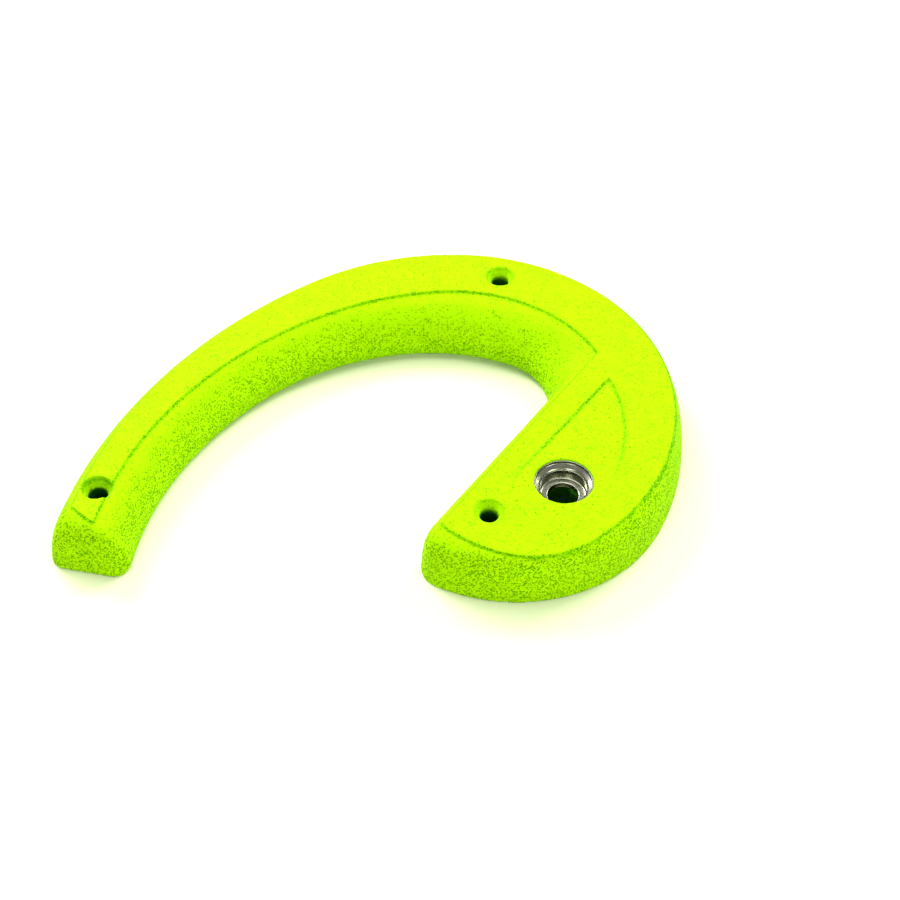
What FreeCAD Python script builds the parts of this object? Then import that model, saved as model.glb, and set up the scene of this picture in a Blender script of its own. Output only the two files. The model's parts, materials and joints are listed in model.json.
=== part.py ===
import FreeCAD, Part
import math
import os

import Sketcher
from FreeCAD import Vector

# Hook-shaped climbing hold: a one-piece polyurethane casting round a steel bolt seat.
# Millimetres. The origin is on the bolt's axis, in the face that lies on the wall, and
# +Z points out of the wall. The hook's arm ends at -X and its head lies round the bolt.

# Centre of each arc of the outline: at the mounting face, and at the top. The outer arcs
# run from the tip of the head round to the end of the arm, and the inner arcs run back.
ARC_CENTRES = {
    "toe": ((-16.8, 20.5), (-7.3, 13.7)),
    "head": ((-17.0, 19.1), (-11.9, 0.2)),
    "flank": ((-60.2, 41.7), (-42.9, 39.6)),
    "crown": ((-35.6, 42.8), (-37.1, 43.7)),
    "shoulder": ((-41.3, 20.7), (-39.3, 25.0)),
    "arm": ((7.5, -49.2), (6.3, -44.6)),
    "grip_arm": ((-20.0, -36.6), (-18.5, -41.5)),
    "grip_bend": ((-43.6, -12.5), (-34.5, -8.5)),
    "grip_crown": ((-47.6, 11.0), (-39.5, 39.0)),
}

# Each arc is tangent to the one before it, and its radius is this much times the distance
# between their centres larger.
OUTER_CHAIN = {"toe": 0, "head": -1, "flank": 1, "crown": -1, "shoulder": 1, "arm": 1}
INNER_CHAIN = {"grip_arm": 0, "grip_bend": -1, "grip_crown": -1}

# The outline's other sizes: at the mounting face, and at the top.
OUTLINE_SIZES = {
    "toe_radius": (59.0, 49.0),
    "grip_arm_radius": (132.1, 145.5),
    "side_distance": (29.7, 24.0),
    "end_x": (-165.6, -166.8),
    "end_y": (-25.4, -15.6),
    "end_slope": (-12.1, -42.0),
    "tip_corner": (9.1, 0.8),
    "heel_corner": (6.0, 0.8),
    "finger_corner": (5.5, 0.8),
    "crook_corner": (25.0, 1.2),
}

# Sizes that stay the same from the mounting face to the top, and those of the features.
DIMENSIONS = {
    "side_slope": 55.5,
    "thickness": 20.5,
    "step": 1.0,
    "ledge": 0.5,
    "squareness": 2.4,
    "drop_tilt": 0.9,
    "drop_base_x": -3.6,
    "drop_base_y": -4.3,
    "drop_base_radius": 14.6,
    "drop_side_x": -41.0,
    "drop_side_y": 28.5,
    "drop_slope": 54.2,
    "bolt_radius": 5.5,
    "well_radius": 10.5,
    "flange_radius": 13.0,
    "seat_bottom": 10.9,
    "seat_floor": 2.0,
    "seat_height": 5.7,
    "seat_radius": 8.2,
    "seat_foot": 0.7,
    "seat_rim": 0.3,
    "collar_height": 2.8,
    "collar_radius": 8.3,
    "collar_foot": 0.5,
    "collar_flare": 0.8,
    "lip_radius": 10.1,
    "lip_height": 1.1,
    "screw_radius": 3.3,
    "countersink_radius": 5.3,
    "arm_screw_x": -163.2,
    "arm_screw_y": -3.3,
    "arm_screw_wall": 1.8,
    "arm_screw_depth": 4.5,
    "crown_screw_x": -20.3,
    "crown_screw_y": 108.3,
    "crown_screw_wall": 0.5,
    "crown_screw_depth": 3.1,
    "tip_screw_x": -26.4,
    "tip_screw_y": -14.3,
    "tip_screw_wall": 0.4,
    "tip_screw_depth": 2.6,
}

SCREWS = ("arm", "crown", "tip")

# Heights of the outlines that the side walls pass through, as shares of the walls' height.
WALL_LEVELS = (0, 0.25, 0.5, 0.7, 0.83, 0.92, 0.975, 1)


class Size:
    """A number, with the spreadsheet formula that gives it."""

    def __init__(self, value, text=None):
        self.value = value
        self.text = text or repr(value)

    def combine(self, sign, other, result):
        return Size(result, f"({self.text} {sign} {other.text})")

    def __add__(self, other):
        return self.combine("+", other, self.value + other.value)

    def __sub__(self, other):
        return self.combine("-", other, self.value - other.value)

    def __mul__(self, other):
        return self.combine("*", other, self.value * other.value)

    def __truediv__(self, other):
        return self.combine("/", other, self.value / other.value)

    def __pow__(self, other):
        return self.combine("^", other, self.value**other.value)


ZERO = Size(0.0)
ONE = Size(1.0)


class Dims:
    """The driving dimensions, each a named cell of one spreadsheet."""

    def __init__(self, document):
        self.sheet = document.addObject("Spreadsheet::Sheet", "Dims")
        self.values = {}

    def add(self, name, value):
        row = len(self.values) + 1
        self.sheet.set(f"A{row}", name.replace("_", " "))
        self.sheet.set(f"B{row}", str(value))
        self.sheet.setAlias(f"B{row}", name)
        self.values[name] = value

    def __getitem__(self, name):
        return Size(self.values[name], f"Dims.{name}")

    def between(self, name, share):
        """A size of the outline, the given share of the way from mounting face to top."""
        back, top = self[f"back_{name}"], self[f"top_{name}"]
        return back + share * (top - back)


def fill_sheet(document):
    dims = Dims(document)
    for name, value in DIMENSIONS.items():
        dims.add(name, value)
    for name, sizes in OUTLINE_SIZES.items():
        for level, value in zip(("back", "top"), sizes):
            dims.add(f"{level}_{name}", value)
    for name, centres in ARC_CENTRES.items():
        for level, (x, y) in zip(("back", "top"), centres):
            dims.add(f"{level}_{name}_x", x)
            dims.add(f"{level}_{name}_y", y)
    document.recompute()
    return dims


def direction(degrees):
    angle = math.radians(degrees)
    return Vector(math.cos(angle), math.sin(angle), 0)


def bearing(origin, point):
    return math.atan2(point.y - origin.y, point.x - origin.x)


def toward(start, end, distance):
    """The point at a distance from start, on the way to end."""
    return start + (end - start).normalize() * distance


class Drawing:
    """A sketch on one of a body's origin planes, each of its sizes bound to the sheet."""

    def __init__(self, body, name, plane="XY_Plane", height=ZERO):
        self.sketch = body.newObject("Sketcher::SketchObject", name)
        planes = [item for item in body.Origin.OriginFeatures if item.Role == plane]
        self.sketch.AttachmentSupport = [(planes[0], "")]
        self.sketch.MapMode = "FlatFace"
        self.sketch.setExpression("AttachmentOffset.Base.z", height.text)

    def tie(self, kind, *where):
        return self.sketch.addConstraint(Sketcher.Constraint(kind, *where))

    def fix(self, size, kind, *where):
        value = math.radians(size.value) if kind == "Angle" else size.value
        self.sketch.setExpression(f"Constraints[{self.tie(kind, *where, value)}]", size.text)

    def fix_point(self, x, y, *where):
        self.fix(x, "DistanceX", -1, 1, *where)
        self.fix(y, "DistanceY", -1, 1, *where)

    def line(self, start, end):
        return self.sketch.addGeometry(Part.LineSegment(start, end))

    def arc(self, centre, start, end):
        """A counter-clockwise arc."""
        first, last = bearing(centre, start), bearing(centre, end)
        if last < first:
            last += 2 * math.pi
        circle = Part.Circle(centre, Vector(0, 0, 1), centre.distanceToPoint(start))
        return self.sketch.addGeometry(Part.ArcOfCircle(circle, first, last))

    def circle(self, x, y, radius):
        centre = Vector(x.value, y.value, 0)
        index = self.sketch.addGeometry(Part.Circle(centre, Vector(0, 0, 1), radius.value))
        self.fix(radius, "Radius", index)
        self.fix_point(x, y, index, 3)

    def polygon(self, corners):
        """A closed run of lines through corners given as pairs of sizes."""
        points = [Vector(x.value, y.value, 0) for x, y in corners]
        lines = [self.line(*ends) for ends in zip(points, points[1:] + points[:1])]
        for index, after, (x, y) in zip(lines, lines[1:] + lines[:1], corners):
            self.fix_point(x, y, index, 1)
            self.tie("Coincident", index, 2, after, 1)


class Arc:
    """One arc of the outline: its centre and radius, as numbers and as sizes."""

    def __init__(self, dims, name, share, radius):
        self.x = dims.between(f"{name}_x", share)
        self.y = dims.between(f"{name}_y", share)
        self.centre = Vector(self.x.value, self.y.value, 0)
        self.radius = radius


def arc_chain(dims, chain, share, first_radius):
    """Arcs that touch each other in turn, and the points where they touch."""
    arcs, joints = [], []
    radius = first_radius
    for name, growth in chain.items():
        arc = Arc(dims, name, share, radius)
        if arcs:
            before = arcs[-1]
            arc.radius += growth * before.centre.distanceToPoint(arc.centre)
            outward = (before.centre - arc.centre) * growth
            joints.append(arc.centre + outward.normalize() * arc.radius)
        radius = arc.radius
        arcs.append(arc)
    return arcs, joints


class Edge:
    """A straight edge of the outline, with its outward normal."""

    def __init__(self, point, slope, normal_turn):
        self.point = point
        self.normal = direction(slope + normal_turn)

    def corner(self, arc, radius, circle_side, line_side, way):
        """Centre of a corner arc between this edge and an arc, and its two end points."""
        reach = arc.radius + circle_side * radius
        along = Vector(-self.normal.y, self.normal.x, 0)
        height = self.normal.dot(self.point - arc.centre) + line_side * radius
        offset = way * math.sqrt(reach**2 - height**2)
        centre = arc.centre + self.normal * height + along * offset
        on_arc = toward(arc.centre, centre, arc.radius)
        return centre, on_arc, centre - self.normal * (line_side * radius)


def draw_outline(body, dims, name, height, share, inset):
    """The hook's outline, the given share of the way up and drawn in by inset."""
    drawing = Drawing(body, name, height=height)
    toe_radius = dims.between("toe_radius", share) - inset
    grip_radius = dims.between("grip_arm_radius", share) + inset
    side_distance = dims.between("side_distance", share) - inset
    end_slope = dims.between("end_slope", share)
    end_x = dims.between("end_x", share)
    cosine = Size(math.cos(math.radians(end_slope.value)), f"cos({end_slope.text})")
    end_y = dims.between("end_y", share) + inset / cosine
    corner_sizes = [dims.between(f"{key}_corner", share) for key in ("tip", "heel", "finger", "crook")]
    tip, heel, finger, crook = [size.value for size in corner_sizes]

    outer, outer_joints = arc_chain(dims, OUTER_CHAIN, share, toe_radius.value)
    inner, inner_joints = arc_chain(dims, INNER_CHAIN, share, grip_radius.value)
    slope = dims["side_slope"]
    side = Edge(direction(slope.value + 90) * side_distance.value, slope.value, 90)
    end = Edge(Vector(end_x.value, end_y.value, 0), end_slope.value, -90)

    tip_centre, tip_on_toe, tip_on_side = side.corner(outer[0], tip, -1, -1, 1)
    heel_centre, heel_on_arm, heel_on_end = end.corner(outer[-1], heel, -1, -1, -1)
    finger_centre, finger_on_grip, finger_on_end = end.corner(inner[0], finger, 1, -1, -1)
    crook_centre, crook_on_grip, crook_on_side = side.corner(inner[-1], crook, -1, 1, -1)

    # each piece of the outline with the numbers of its first and last point, in order
    forward, backward = (1, 2), (2, 1)
    pieces = []
    starts = [tip_on_toe, *outer_joints]
    for arc, start, finish in zip(outer, starts, [*outer_joints, heel_on_arm]):
        pieces.append((drawing.arc(arc.centre, start, finish), forward))
    pieces.append((drawing.arc(heel_centre, heel_on_arm, heel_on_end), forward))
    pieces.append((drawing.line(heel_on_end, finger_on_end), forward))
    pieces.append((drawing.arc(finger_centre, finger_on_end, finger_on_grip), forward))
    starts = [finger_on_grip, *inner_joints]
    for arc, start, finish in zip(inner, starts, [*inner_joints, crook_on_grip]):
        pieces.append((drawing.arc(arc.centre, finish, start), backward))
    pieces.append((drawing.arc(crook_centre, crook_on_side, crook_on_grip), backward))
    pieces.append((drawing.line(crook_on_side, tip_on_side), forward))
    pieces.append((drawing.arc(tip_centre, tip_on_side, tip_on_toe), forward))
    for (index, ends), (after, after_ends) in zip(pieces, pieces[1:] + pieces[:1]):
        drawing.tie("Tangent", index, ends[1], after, after_ends[0])

    numbers = [index for index, _ in pieces]
    outer_numbers = numbers[: len(outer)]
    heel_number, end_number, finger_number = numbers[len(outer) : len(outer) + 3]
    inner_numbers = numbers[len(outer) + 3 : -3]
    crook_number, side_number, tip_number = numbers[-3:]
    for arc, index in zip(outer + inner, outer_numbers + inner_numbers):
        drawing.fix_point(arc.x, arc.y, index, 3)
    drawing.fix(toe_radius, "Radius", outer_numbers[0])
    drawing.fix(grip_radius, "Radius", inner_numbers[0])
    for size, index in zip(corner_sizes, (tip_number, heel_number, finger_number, crook_number)):
        drawing.fix(size, "Radius", index)
    drawing.fix(slope + Size(180.0), "Angle", side_number)
    drawing.fix(side_distance, "Distance", -1, 1, side_number)
    pivot = drawing.sketch.addGeometry(Part.Point(end.point), True)
    drawing.fix_point(end_x, end_y, pivot, 1)
    drawing.tie("PointOnObject", pivot, 1, end_number)
    drawing.fix(end_slope, "Angle", end_number)
    return drawing.sketch


def draw_drop(body, dims):
    """The teardrop round the bolt: a straight side, a round base and a curved side.

    It lies on a plane that dips away from the front of the base, where it meets the top face.
    """
    base_x, base_y, radius = dims["drop_base_x"], dims["drop_base_y"], dims["drop_base_radius"]
    tilt = dims["drop_tilt"]
    tangent = Size(math.tan(math.radians(tilt.value)), f"tan({tilt.text} * 1 deg)")
    height = dims["thickness"] + tangent * (base_y - radius)
    drawing = Drawing(body, "DropOutline", height=height)
    dip = FreeCAD.Rotation(Vector(-1, 0, 0), tilt.value)
    drawing.sketch.AttachmentOffset = FreeCAD.Placement(Vector(), dip)
    drawing.sketch.setExpression("AttachmentOffset.Rotation.Angle", tilt.text)
    side_x, side_y = dims["drop_side_x"], dims["drop_side_y"]
    base = Vector(base_x.value, base_y.value, 0)
    side = Vector(side_x.value, side_y.value, 0)
    side_radius = radius.value + base.distanceToPoint(side)
    joint = toward(side, base, side_radius)
    slope = dims["drop_slope"]
    along = direction(slope.value)
    left = base + direction(slope.value + 90) * radius.value
    foot = along.dot(side - left)
    height = (side - left - along * foot).Length
    peak = left + along * (foot + math.sqrt(side_radius**2 - height**2))
    base_arc = drawing.arc(base, left, joint)
    side_arc = drawing.arc(side, joint, peak)
    straight = drawing.line(peak, left)
    drawing.tie("Tangent", base_arc, 2, side_arc, 1)
    drawing.tie("Coincident", side_arc, 2, straight, 1)
    drawing.tie("Tangent", straight, 2, base_arc, 1)
    drawing.fix_point(base_x, base_y, base_arc, 3)
    drawing.fix_point(side_x, side_y, side_arc, 3)
    drawing.fix(radius, "Radius", base_arc)
    drawing.fix(slope + Size(180.0), "Angle", straight)
    return drawing.sketch


def add_walls(body, dims):
    """The side walls: a superellipse in section, from the mounting face to the ledge."""
    wall_height = dims["thickness"] - dims["step"]
    power = dims["squareness"]
    outlines = []
    for number, level in enumerate(WALL_LEVELS):
        share = ONE - (ONE - Size(level) ** power) ** (ONE / power)
        height = wall_height * Size(level)
        inset = ZERO - dims["ledge"] * share
        outlines.append(draw_outline(body, dims, f"Outline{number}", height, share, inset))
    loft = body.newObject("PartDesign::AdditiveLoft", "Walls")
    loft.Profile = (outlines[0], [""])
    loft.Sections = [(outline, [""]) for outline in outlines[1:]]


def add_cut(body, name, sketch, depth=None):
    """A pocket down from a sketch, to a depth or right through."""
    pocket = body.newObject("PartDesign::Pocket", name)
    pocket.Profile = sketch
    if depth:
        pocket.setExpression("Length", depth.text)
    else:
        pocket.Type = "ThroughAll"
    return pocket


def cast_body(document, dims):
    """The polyurethane casting."""
    body = document.addObject("PartDesign::Body", "HoldBody")
    body.Label = "hold_body"
    top = dims["thickness"]
    add_walls(body, dims)

    face = body.newObject("PartDesign::Pad", "TopFace")
    face.Profile = draw_outline(body, dims, "TopOutline", top - dims["step"], ONE, ZERO)
    face.setExpression("Length", dims["step"].text)

    drop = add_cut(body, "Drop", draw_drop(body, dims))
    drop.Reversed = True

    well = Drawing(body, "WellProfile", "XZ_Plane")
    bottom = dims["seat_bottom"]
    ledge = bottom + dims["seat_floor"]
    bore, recess, flange = dims["bolt_radius"], dims["well_radius"], dims["flange_radius"]
    well.polygon([(ZERO, ZERO), (bore, ZERO), (bore, bottom), (flange, bottom),
                  (flange, ledge), (recess, ledge), (recess, top), (ZERO, top)])
    groove = body.newObject("PartDesign::Groove", "BoltWell")
    groove.Profile = well.sketch
    groove.ReferenceAxis = (well.sketch, ["V_Axis"])
    groove.Angle = 360

    holes = Drawing(body, "ScrewHoles", height=top)
    outer, inner = dims["countersink_radius"], dims["screw_radius"]
    for screw in SCREWS:
        x, y = dims[f"{screw}_screw_x"], dims[f"{screw}_screw_y"]
        wall = dims[f"{screw}_screw_wall"]
        cone = dims[f"{screw}_screw_depth"] - wall
        for part, height, depth in (("Rim", top, wall), ("Cone", top - wall, cone)):
            recess = Drawing(body, f"{screw.title()}{part}Circle", height=height)
            recess.circle(x, y, outer)
            cut = add_cut(body, f"{screw.title()}{part}", recess.sketch, depth)
        cut.setExpression("TaperAngle", f"-atan(({outer.text} - {inner.text}) / {cone.text})")
        holes.circle(x, y, inner)
    add_cut(body, "ScrewBores", holes.sketch)
    return body


def turned_body(document, name, label, profile, bottom):
    """A body of revolution about Z, standing at a height."""
    body = document.addObject("PartDesign::Body", name)
    body.Label = label
    body.setExpression("Placement.Base.z", bottom.text)
    drawing = Drawing(body, f"{name}Profile", "XZ_Plane")
    drawing.polygon(profile)
    turn = body.newObject("PartDesign::Revolution", f"{name}Turn")
    turn.Profile = drawing.sketch
    turn.ReferenceAxis = (drawing.sketch, ["V_Axis"])
    turn.Angle = 360
    document.recompute()
    return body


def round_edge(body, name, radius, height, size):
    """Round the circular edge that has a radius and lies at a height above the body's foot."""
    feature = body.Tip
    names = []
    for number, edge in enumerate(feature.Shape.Edges, 1):
        curve = edge.Curve
        if isinstance(curve, Part.Circle) and abs(curve.Radius - radius.value) < 1e-6:
            if abs(curve.Center.z - height.value) < 1e-6:
                names.append(f"Edge{number}")
    fillet = body.newObject("PartDesign::Fillet", name)
    fillet.Base = (feature, names)
    fillet.setExpression("Radius", size.text)
    body.Document.recompute()


def bolt_seat(document, dims):
    """The steel cup that carries the bolt's head, with a flange cast into the body."""
    wall, flange = dims["well_radius"], dims["flange_radius"]
    bore, cup = dims["bolt_radius"], dims["seat_radius"]
    floor, height = dims["seat_floor"], dims["seat_height"]
    profile = [(bore, ZERO), (flange, ZERO), (flange, floor), (wall, floor),
               (wall, height), (cup, height), (cup, floor), (bore, floor)]
    body = turned_body(document, "BoltSeat", "bolt_seat", profile, dims["seat_bottom"])
    round_edge(body, "SeatFoot", cup, floor, dims["seat_foot"])
    round_edge(body, "SeatRim", bore, floor, dims["seat_rim"])
    return body


def bolt_collar(document, dims):
    """The steel collar that lines the mouth of the bolt's recess: a thin lip over a flare."""
    wall, lip, mouth = dims["well_radius"], dims["lip_radius"], dims["collar_radius"]
    height, foot = dims["collar_height"], dims["collar_foot"]
    shoulder = height - dims["lip_height"]
    profile = [(mouth, ZERO), (wall, ZERO), (wall, height),
               (lip, height), (lip, shoulder), (mouth, foot)]
    bottom = dims["seat_bottom"] + dims["seat_height"]
    body = turned_body(document, "BoltCollar", "bolt_collar", profile, bottom)
    round_edge(body, "CollarFlare", mouth, foot, dims["collar_flare"])
    return body


def check(document, bodies):
    """Stop if any object failed, or any sub-part isn't one sound solid."""
    for item in document.Objects:
        if {"Invalid", "Error"} & set(item.State):
            raise RuntimeError(f"{item.Name} failed: {item.State}")
    for body in bodies:
        shape = body.Shape
        if shape.isNull() or not shape.isValid() or len(shape.Solids) != 1:
            raise RuntimeError(f"{body.Label} is not one sound solid")
        print(body.Label, "volume", round(shape.Volume), "mm3", shape.BoundBox)


def main():
    document = FreeCAD.newDocument("ClimbingHold")
    dims = fill_sheet(document)
    bodies = [cast_body(document, dims), bolt_seat(document, dims), bolt_collar(document, dims)]
    document.recompute()
    check(document, bodies)
    os.makedirs("parts", exist_ok=True)
    for body in bodies:
        body.Shape.exportStep(os.path.join("parts", f"{body.Label}.step"))


main()
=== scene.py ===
import json
import math

import bmesh
import bpy
import numpy as np
from mathutils import Euler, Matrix, Vector, kdtree, noise


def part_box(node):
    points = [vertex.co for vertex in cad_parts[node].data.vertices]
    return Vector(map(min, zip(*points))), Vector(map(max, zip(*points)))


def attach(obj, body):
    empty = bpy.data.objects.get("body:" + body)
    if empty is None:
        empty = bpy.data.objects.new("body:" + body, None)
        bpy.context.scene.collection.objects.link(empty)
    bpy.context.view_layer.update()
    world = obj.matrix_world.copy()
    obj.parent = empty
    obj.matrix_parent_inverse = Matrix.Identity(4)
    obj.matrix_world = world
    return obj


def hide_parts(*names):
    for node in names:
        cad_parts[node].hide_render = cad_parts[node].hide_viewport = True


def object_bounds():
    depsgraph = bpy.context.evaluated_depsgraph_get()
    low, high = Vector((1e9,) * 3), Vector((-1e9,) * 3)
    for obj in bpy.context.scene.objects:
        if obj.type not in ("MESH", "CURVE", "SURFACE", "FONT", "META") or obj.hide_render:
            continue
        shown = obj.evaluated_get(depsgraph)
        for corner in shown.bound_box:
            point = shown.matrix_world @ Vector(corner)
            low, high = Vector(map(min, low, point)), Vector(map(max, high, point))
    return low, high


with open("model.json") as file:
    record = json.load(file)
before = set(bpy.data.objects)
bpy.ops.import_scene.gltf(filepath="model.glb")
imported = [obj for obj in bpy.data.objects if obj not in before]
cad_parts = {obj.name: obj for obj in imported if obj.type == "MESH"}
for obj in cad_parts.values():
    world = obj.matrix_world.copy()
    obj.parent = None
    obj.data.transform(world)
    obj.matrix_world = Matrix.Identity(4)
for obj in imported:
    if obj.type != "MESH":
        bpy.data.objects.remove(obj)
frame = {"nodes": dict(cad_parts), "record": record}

# Hook-shaped climbing hold lying on its mounting face: a pitted polyurethane casting round a
# turned steel bolt seat. Metres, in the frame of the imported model, whose origin is on the
# bolt's axis in the mounting face.

MM = 0.001
CAD_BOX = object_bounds()
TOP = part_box("hold_body")[1].z

# The cast skin: the size of its faces and their number, how its edges and ridges are softened,
# and its unevenness as pairs of height and wavelength
GRID = 0.4 * MM
SKIN_TRIANGLES = 190000
SMOOTHING_PASSES = 3
RIDGE_RADIUS, RIDGE_STEP = 2.6 * MM, 0.7
SWELL = (0.07 * MM, 9 * MM)
GRAIN = (0.05 * MM, 1.6 * MM)

# The rolled foot of the hook's inner wall. Skin is steep where its normal's level part is
# longer than STEEP.
FOOT_RADIUS, FOOT_BULGE = 6 * MM, 3 * MM
STEEP = 0.3

# Creases, whose painted shade fades out where they are shallow, and holes, whose bores get painted
# shade that darkens with depth
CREASE_WIDTH = 1.1 * MM
CREASE_ANGLE = math.radians(25)
CREASE_DEPTHS = (0.15 * MM, 0.7 * MM)
RECESS_WIDTH = 2 * MM
HOLE_MARGIN, CRISP_MARGIN = 0.3 * MM, 1.5 * MM
BORE_SHADE_DEPTHS = (2.2 * MM, 5 * MM)

# The turned steel pieces, as corners of (radius, height above their foot, rounding) in mm
TURN_STEPS, CORNER_STEPS = 180, 5
SEAT = [(5.5, 0, 0.2), (13, 0, 0.2), (13, 2, 0.2), (10.5, 2, 0.2), (10.5, 5.7, 0.1),
        (8.2, 5.7, 0.2), (8.2, 2, 0.7), (5.5, 2, 0.35)]
COLLAR = [(8.3, 0, 0.15), (10.5, 0, 0.1), (10.5, 2.8, 0.1), (10.1, 2.8, 0.12),
          (10.1, 1.7, 0.25), (8.3, 0.5, 0.8)]

# Linear colours of the polyurethane, its reflections, the steel and the floor
SOUND, SHADED = (0.34, 0.66, 0.001, 1), (0.29, 0.60, 0.001, 1)
# On the next line the first colour is painted shade along creases and on the steep walls of hole
# recesses, and the last is painted shade deep in the bores
CREASE_SHADE, PITTED, BORE_SHADE = (0.10, 0.40, 0.0, 1), (0.03, 0.22, 0.0, 1), (0.0, 0.05, 0.005, 1)
REFLECTED = (0.5, 1.0, 0.01, 1)
BRIGHT, DULL = (0.40, 0.41, 0.31, 1), (0.30, 0.31, 0.22, 1)
WARM_WHITE = (0.84, 0.88, 0.58, 1)

# The studio: a floor just below the hold, even light from all round, and square lamps, each
# with its place, the length of its sides and its power in watts
FLOOR_HALF, FLOOR_DROP = 3.0, 0.1 * MM
AMBIENT = 0.3
LAMPS = {
    "softbox_overhead": ((-0.1, 0.2, 1.2), 0.8, 9.0),
    "softbox_left": ((-0.65, 0.8, 0.7), 0.6, 19.0),
    "softbox_right": ((0.75, 0.8, 0.7), 0.6, 15.0),
    "fill_left": ((-0.45, -0.9, 0.4), 0.5, 4.0),
    "fill_right": ((0.75, -0.7, 0.3), 0.5, 5.5),
}

# The camera, with the bolt hole's mouth off the middle of the view
LENS, SENSOR = 72, 36
CAMERA_ELEVATION = math.radians(46.5)
CAMERA_DISTANCE = 0.63
BOLT_RIGHT, BOLT_DOWN = 0.0399, 0.0105


class Nodes:
    """Builds one material's node tree. In the name of an input, _ stands for a space."""

    def __init__(self, name):
        self.material = bpy.data.materials.new(name)
        self.material.use_nodes = True
        self.tree = self.material.node_tree
        self.shader = self.tree.nodes["Principled BSDF"]

    def put(self, socket, value):
        """Put a number, a colour or another node's output into a socket."""
        if isinstance(value, bpy.types.NodeSocket):
            self.tree.links.new(value, socket)
        else:
            socket.default_value = value

    def add(self, kind, **sockets):
        """Add a node, with values for some of its inputs."""
        node = self.tree.nodes.new("ShaderNode" + kind)
        for name, value in sockets.items():
            self.put(node.inputs[name.replace("_", " ")], value)
        return node

    def maths(self, operation, *values):
        """The result of an operation on some values."""
        node = self.add("Math")
        node.operation = operation
        for socket, value in zip(node.inputs, values):
            self.put(socket, value)
        return node.outputs[0]

    def ramp(self, value, low, high, first=0.0, last=1.0):
        """A smooth step from first to last as value goes from low to high."""
        node = self.add("MapRange", Value=value, From_Min=low, From_Max=high,
                        To_Min=first, To_Max=last)
        node.interpolation_type = "SMOOTHSTEP"
        return node.outputs[0]

    def mix(self, factor, first, last):
        """A colour from first to last as factor goes from 0 to 1."""
        node = self.add("Mix")
        node.data_type = "RGBA"
        for socket, value in zip((node.inputs[0], node.inputs["A"], node.inputs["B"]),
                                 (factor, first, last)):
            self.put(socket, value)
        return node.outputs["Result"]

    def noise(self, place, wavelength, detail):
        """Smooth noise of a wavelength at a place."""
        return self.add("TexNoise", Vector=place, Scale=1 / wavelength, Detail=detail).outputs[0]

    def attribute(self, name):
        """A value that the mesh holds for each of its points."""
        node = self.add("Attribute")
        node.attribute_name = name
        return node.outputs["Fac"]

    def set(self, **sockets):
        """Give the surface values for some of its inputs."""
        for name, value in sockets.items():
            self.put(self.shader.inputs[name.replace("_", " ")], value)


def polyurethane():
    """Lime green polyurethane: open pits all over the walls, and a few on the flat top, with
    painted shade along creases, on the steep walls of hole recesses and deep in the bores.
    """
    nodes = Nodes("lime_polyurethane")
    place = nodes.add("TexCoord").outputs["Object"]
    wall, crease_shade_and_pits, bore, recess = [nodes.attribute(name)
                                  for name in ("wall", "crease_shade_and_pits", "bore", "recess")]

    def pits(spacing, radius, share):
        """One size of pit: 1 in a pit, 0 outside it. share is how many cells hold a pit."""
        cells = nodes.add("TexVoronoi", Vector=place, Scale=1 / spacing)
        chance = nodes.add("SeparateXYZ", Vector=cells.outputs["Color"])
        held = nodes.maths("LESS_THAN", chance.outputs["X"], share)
        size = nodes.maths("MULTIPLY_ADD", chance.outputs["Y"], radius * 0.5, radius * 0.5)
        reach = nodes.maths("DIVIDE", cells.outputs["Distance"], size)
        return nodes.maths("MULTIPLY", nodes.ramp(reach, 0.4, 1.0, 1.0, 0.0), held)

    rough = nodes.maths("MAXIMUM", wall, nodes.maths("MULTIPLY", crease_shade_and_pits, 0.8))
    rough = nodes.maths("MULTIPLY", rough, nodes.maths("SUBTRACT", 1.0, recess))
    fine = pits(0.72 * MM, 0.72, nodes.maths("MULTIPLY_ADD", rough, 0.7, 0.25))
    coarse = pits(1.05 * MM, 0.45, nodes.maths("MULTIPLY_ADD", rough, 0.4, 0.08))
    depth = nodes.maths("MULTIPLY_ADD", rough, 0.4, 0.6)
    pit = nodes.maths("MAXIMUM", nodes.maths("MULTIPLY", fine, depth), coarse)

    cloud = nodes.noise(place, 6 * MM, 4.0)
    speckle = nodes.noise(place, 0.9 * MM, 2.0)
    shade = nodes.maths("MULTIPLY_ADD", cloud, 0.5, nodes.maths("MULTIPLY", speckle, 0.5))
    plain = nodes.mix(nodes.ramp(shade, 0.35, 0.7), SOUND, SHADED)
    broken = nodes.ramp(nodes.noise(place, 1.3 * MM, 2.0), 0.35, 0.6, 0.3, 0.85)
    # Painted shade along creases and on the steep walls of hole recesses, broken into dots
    crease_shaded = nodes.mix(nodes.maths("MULTIPLY", crease_shade_and_pits, broken), plain, CREASE_SHADE)
    pitted = nodes.mix(nodes.maths("MULTIPLY", pit, 0.8), crease_shaded, PITTED)
    # Painted shade deep in the bores, darker further down
    colour = nodes.mix(nodes.maths("MULTIPLY", bore, 0.96), pitted, BORE_SHADE)

    grain = nodes.noise(place, 0.45 * MM, 3.0)
    relief = nodes.maths("SUBTRACT", nodes.maths("MULTIPLY", grain, 0.12), pit)
    bump = nodes.add("Bump", Height=relief, Strength=0.8, Distance=0.2 * MM)
    nodes.set(Base_Color=colour, Normal=bump.outputs[0], Specular_IOR_Level=0.03,
              Specular_Tint=REFLECTED, Roughness=nodes.maths("MULTIPLY_ADD", speckle, 0.2, 0.55))
    return nodes.material


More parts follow.
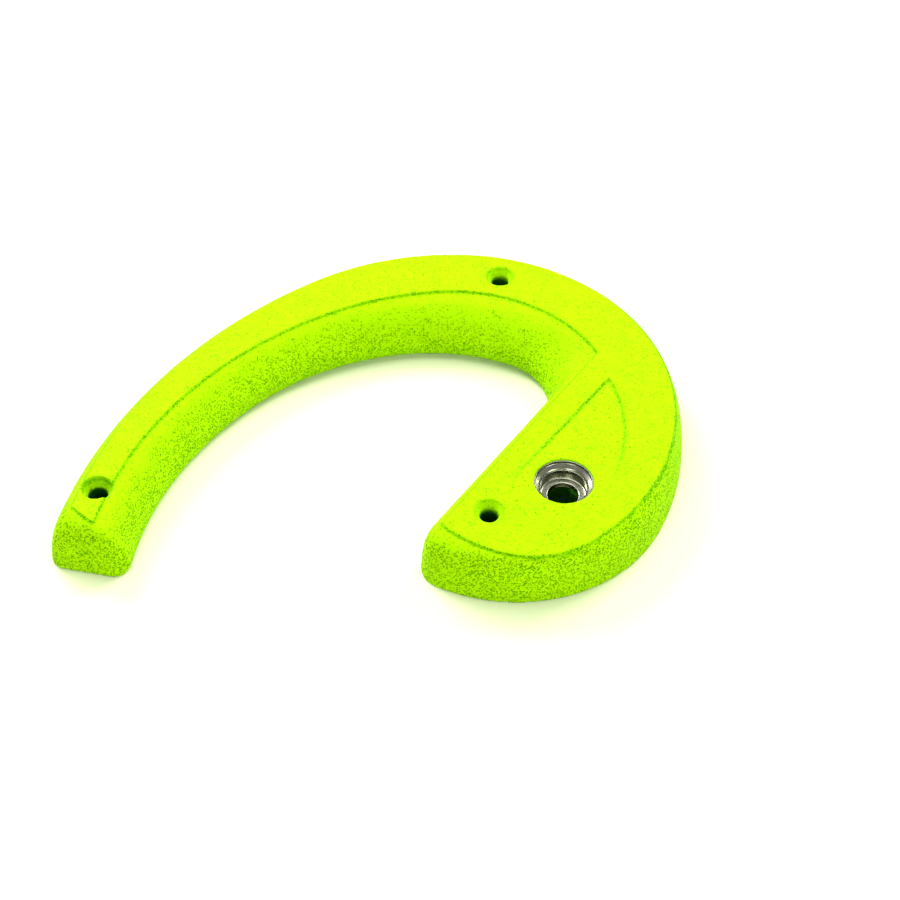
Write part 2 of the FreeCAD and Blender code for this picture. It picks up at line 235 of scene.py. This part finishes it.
def turned_steel():
    """Bright plated steel with fine turning marks round the bolt's axis."""
    nodes = Nodes("turned_steel")
    place = nodes.add("TexCoord").outputs["Object"]
    parts = nodes.add("SeparateXYZ", Vector=place)
    flat = nodes.add("CombineXYZ", X=parts.outputs["X"], Y=parts.outputs["Y"])
    reach = nodes.add("VectorMath", Vector=flat.outputs[0])
    reach.operation = "LENGTH"
    rings = nodes.add("CombineXYZ", X=reach.outputs["Value"], Y=parts.outputs["Z"])
    marks = nodes.noise(rings.outputs[0], 0.12 * MM, 2.0)
    cloud = nodes.noise(place, 3 * MM, 3.0)
    bump = nodes.add("Bump", Height=marks, Strength=0.15, Distance=0.01 * MM)
    nodes.set(Base_Color=nodes.mix(cloud, BRIGHT, DULL), Metallic=1.0,
              Roughness=nodes.ramp(cloud, 0.3, 0.7, 0.22, 0.32), Normal=bump.outputs[0])
    return nodes.material


def new_piece(name, mesh, surface):
    """A piece that rides on the hold, with one material all over."""
    mesh.materials.clear()
    mesh.materials.append(surface)
    mesh.shade_smooth()
    piece = bpy.data.objects.new(name, mesh)
    bpy.context.scene.collection.objects.link(piece)
    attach(piece, "root")
    return piece


def modified(mesh, *steps):
    """A copy of a mesh with some modifiers applied, each a kind and its settings."""
    model = bpy.data.objects.new("model", mesh)
    bpy.context.scene.collection.objects.link(model)
    for kind, settings in steps:
        modifier = model.modifiers.new(kind, kind)
        for name, value in settings.items():
            setattr(modifier, name, value)
    graph = bpy.context.evaluated_depsgraph_get()
    made = bpy.data.meshes.new_from_object(model.evaluated_get(graph))
    bpy.data.objects.remove(model)
    return made


def read(mesh, field):
    """A vector of each of a mesh's vertices, such as its place or its normal, row by row."""
    values = np.empty(3 * len(mesh.vertices))
    mesh.vertices.foreach_get(field, values)
    return values.reshape(-1, 3)


def smooth_step(values, low, high):
    """From 0 to 1, smoothly, as values go from low to high."""
    share = np.clip((values - low) / (high - low), 0, 1)
    return share * share * (3 - 2 * share)


def uneven(points, height, wavelength):
    """Smooth random heights at some points."""
    return height * np.array([noise.noise(point) for point in (points / wavelength).tolist()])


def crease_finder(source):
    """A search tree of points along the inside corners of the CAD node's upper side."""
    shape = bmesh.new()
    shape.from_mesh(source.data)
    bmesh.ops.remove_doubles(shape, verts=shape.verts, dist=MM / 100)
    points = []
    for edge in shape.edges:
        if len(edge.link_faces) == 2 and edge.calc_face_angle_signed(0) < -CREASE_ANGLE:
            start, end = [vertex.co for vertex in edge.verts]
            if min(start.z, end.z) > TOP / 2:
                steps = math.ceil(edge.calc_length() / (GRID / 2))
                points += [start.lerp(end, step / steps) for step in range(steps + 1)]
    shape.free()
    tree = kdtree.KDTree(len(points))
    for number, point in enumerate(points):
        tree.insert(point, number)
    tree.balance()
    return tree


def nearest(tree, points):
    """The nearest point of a search tree to each point, and its distance."""
    found = [tree.find(point) for point in points.tolist()]
    return np.array([place for place, _, _ in found]), np.array([gap for _, _, gap in found])


def hole_marks(points, margin):
    """Where points lie in a hole's recess, and how far down its bore, which sets its painted shade:
    0 at its top, 1 deep in.
    """
    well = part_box("bolt_collar")[1].x + margin
    recess = (np.linalg.norm(points[:, :2], axis=1) < well).astype(float)
    bore = np.zeros(len(points))
    for mount in frame["record"]["mounts"]:
        if mount["kind"] == "bore":
            reach = np.linalg.norm(points[:, :2] - mount["pos_m"][:2], axis=1)
            radius = mount["dims"]["r_mm"] * MM
            recess[reach < radius + RECESS_WIDTH + margin] = 1
            inside = reach < radius + HOLE_MARGIN
            bore[inside] = smooth_step(TOP - points[inside, 2], *BORE_SHADE_DEPTHS)
    return recess, bore


def facing_middle(points, normals):
    """How far each wall faces the middle of the hook, from -1 to 1, and which way it faces."""
    sides = np.linalg.norm(normals[:, :2], axis=1)
    out = normals[:, :2] / np.maximum(sides, STEEP)[:, None]
    box = next(opening["box_m"] for opening in frame["record"]["physics"]["openings"]
               if opening["name"] == "hook_middle")
    inwards = np.mean(box, axis=0)[:2] - points[:, :2]
    return np.sum(out * inwards, axis=1) / np.linalg.norm(inwards, axis=1), out


def skin_marks(points, normals, creases):
    """How far each point belongs to a pitted wall, a crease with its pits and painted shade, a
    hole's recess, or the painted shade down its bore; steep recess walls get painted shade as
    creases do.
    """
    place, gap = nearest(creases, points)
    recess, bore = hole_marks(points, HOLE_MARGIN)
    # Painted shade and pits along the creases, fading out where a crease is shallow
    crease_shade_and_pits = (1 - smooth_step(gap, 0.2 * CREASE_WIDTH, CREASE_WIDTH)) * smooth_step(
        TOP - place[:, 2], *CREASE_DEPTHS)
    # Painted shade on the steep walls of hole recesses, put with the creases
    recess_wall_shade = 0.5 * recess * (1 - smooth_step(normals[:, 2], 0.2, 0.5))
    outside = smooth_step(-facing_middle(points, normals)[0], 0, 0.4)
    wall = 1 - smooth_step(normals[:, 2] + uneven(points, 0.08, 7 * MM), 0.25 + 0.4 * outside, 0.99)
    return {"wall": wall, "crease_shade_and_pits": np.maximum(crease_shade_and_pits, recess_wall_shade), "recess": recess, "bore": bore}


def roll_under(points, normals):
    """Roll the foot of the hook's inner wall under, bulging where it faces the mouth."""
    facing, out = facing_middle(points, normals)
    steep = np.linalg.norm(normals[:, :2], axis=1) > STEEP
    share = smooth_step(facing, 0.1, 0.6) * steep * np.clip(-out[:, 1], 0, 1)
    below = np.clip(FOOT_RADIUS - points[:, 2], 0, FOOT_RADIUS)
    tuck = FOOT_RADIUS - np.sqrt(FOOT_RADIUS ** 2 - below ** 2)
    bulge = FOOT_BULGE * (1 - smooth_step(points[:, 2], FOOT_RADIUS, 3 * FOOT_RADIUS))
    points[:, :2] += out * (share * (bulge - tuck))[:, None]


def soften_ridges(mesh, points, share, cell):
    """Move points towards their neighbours, by a share from 0 to 1, until ridges are round."""
    ends = np.empty(2 * len(mesh.edges), dtype=int)
    mesh.edges.foreach_get("vertices", ends)
    starts, stops = ends.reshape(-1, 2).T
    here, there = np.concatenate((starts, stops)), np.concatenate((stops, starts))
    neighbours = np.bincount(here, minlength=len(points))
    for _ in range(round(2 * (RIDGE_RADIUS / cell) ** 2)):
        for axis in range(3):
            total = np.bincount(here, points[there, axis], len(points))
            points[:, axis] += RIDGE_STEP * share * (total / neighbours - points[:, axis])


def cast_skin(surface):
    """The casting: rolled under at its foot, softly edged, uneven, and marked for its material."""
    source = frame["nodes"]["hold_body"]
    creases = crease_finder(source)
    cell = GRID
    grid = ("REMESH", {"mode": "VOXEL", "voxel_size": cell})

    mesh = modified(source.data.copy(), grid)
    points = read(mesh, "co")
    roll_under(points, read(mesh, "normal"))
    mesh.vertices.foreach_set("co", points.ravel())

    mesh = modified(mesh, grid, ("SMOOTH", {"iterations": SMOOTHING_PASSES}))
    points = read(mesh, "co")
    crisp = np.maximum(1 - smooth_step(nearest(creases, points)[1], MM, 2.5 * MM),
                       hole_marks(points, CRISP_MARGIN)[0])
    soften_ridges(mesh, points, (1 - crisp) * smooth_step(points[:, 2], MM, 4 * MM), cell)
    rise = sum(uneven(points, *waves) for waves in (SWELL, GRAIN))
    rise *= smooth_step(points[:, 2], MM / 2, 2 * MM)
    points = np.clip(points + read(mesh, "normal") * rise[:, None], *CAD_BOX)
    mesh.vertices.foreach_set("co", points.ravel())
    mesh.update()

    ratio = min(1, SKIN_TRIANGLES / (2 * len(mesh.polygons)))
    if ratio < 1:
        mesh = modified(mesh, ("DECIMATE", {"ratio": ratio}))
        mesh.vertices.foreach_set("co", np.clip(read(mesh, "co"), *CAD_BOX).ravel())
    for name, values in skin_marks(read(mesh, "co"), read(mesh, "normal"), creases).items():
        mesh.attributes.new(name, "FLOAT", "POINT").data.foreach_set("value", values)
    piece = new_piece("casting", mesh, surface)
    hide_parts("hold_body")


def rounded(corners):
    """The outline of a polygon in radius and height whose corners are each (r, z, rounding)."""
    outline = []
    for number, (r, z, size) in enumerate(corners):
        here = Vector((r, z))
        before = (Vector(corners[number - 1][:2]) - here).normalized()
        after = (Vector(corners[(number + 1) % len(corners)][:2]) - here).normalized()
        start, end = here + before * size, here + after * size
        for step in range(CORNER_STEPS + 1):
            t = step / CORNER_STEPS
            outline.append(start * (1 - t) ** 2 + here * (2 * t * (1 - t)) + end * t ** 2)
    return outline


def turned_piece(node, corners, surface):
    """A piece turned on the bolt's axis, standing where its CAD node stands."""
    outline = rounded(corners)
    count, bottom = len(outline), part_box(node)[0].z
    points, faces = [], []
    for turn in range(TURN_STEPS):
        angle = 2 * math.pi * turn / TURN_STEPS
        points += [(r * MM * math.cos(angle), r * MM * math.sin(angle), bottom + z * MM)
                   for r, z in outline]
        here, there = turn * count, (turn + 1) % TURN_STEPS * count
        for step in range(count):
            after = (step + 1) % count
            faces.append((here + step, there + step, there + after, here + after))
    mesh = bpy.data.meshes.new(node)
    mesh.from_pydata(points, [], faces)
    piece = new_piece("turned_" + node, mesh, surface)
    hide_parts(node)


def stage():
    """A warm white sheet for a floor, soft studio lights, and the surroundings."""
    corners = [(x * FLOOR_HALF, y * FLOOR_HALF, -FLOOR_DROP)
               for x, y in ((-1, -1), (1, -1), (1, 1), (-1, 1))]
    sheet = bpy.data.meshes.new("floor")
    sheet.from_pydata(corners, [], [(0, 1, 2, 3)])
    white = Nodes("warm_white_sheet")
    white.set(Base_Color=WARM_WHITE, Roughness=0.9, Specular_IOR_Level=0.0)
    sheet.materials.append(white.material)
    floor = bpy.data.objects.new("floor", sheet)
    bpy.context.scene.collection.objects.link(floor)

    world = bpy.data.worlds.new("studio")
    world.use_nodes = True
    background = world.node_tree.nodes["Background"]
    background.inputs["Strength"].default_value = AMBIENT
    background.inputs["Color"].default_value = (1, 1, 1, 1)
    bpy.context.scene.world = world

    for name, (place, size, power) in LAMPS.items():
        lamp = bpy.data.lights.new(name, "AREA")
        lamp.size = size
        lamp.energy = power
        light = bpy.data.objects.new(name, lamp)
        light.location = place
        light.rotation_euler = (-light.location).to_track_quat("-Z", "Y").to_euler()
        bpy.context.scene.collection.objects.link(light)


def camera():
    """A view from above and in front, level, along +Y."""
    lens = bpy.data.cameras.new("camera")
    lens.lens = LENS
    lens.sensor_width = SENSOR
    eye = bpy.data.objects.new("camera", lens)
    eye.rotation_euler = Euler((math.pi / 2 - CAMERA_ELEVATION, 0, 0))
    turn = eye.rotation_euler.to_matrix()
    bolt_mouth = Vector((0, 0, TOP))
    eye.location = bolt_mouth + turn @ Vector((-BOLT_RIGHT, BOLT_DOWN, CAMERA_DISTANCE))
    bpy.context.scene.collection.objects.link(eye)
    bpy.context.scene.camera = eye
    bpy.context.scene.view_settings.view_transform = "Standard"


def main():
    camera()
    stage()
    steel = turned_steel()
    cast_skin(polyurethane())
    turned_piece("bolt_seat", SEAT, steel)
    turned_piece("bolt_collar", COLLAR, steel)


main()
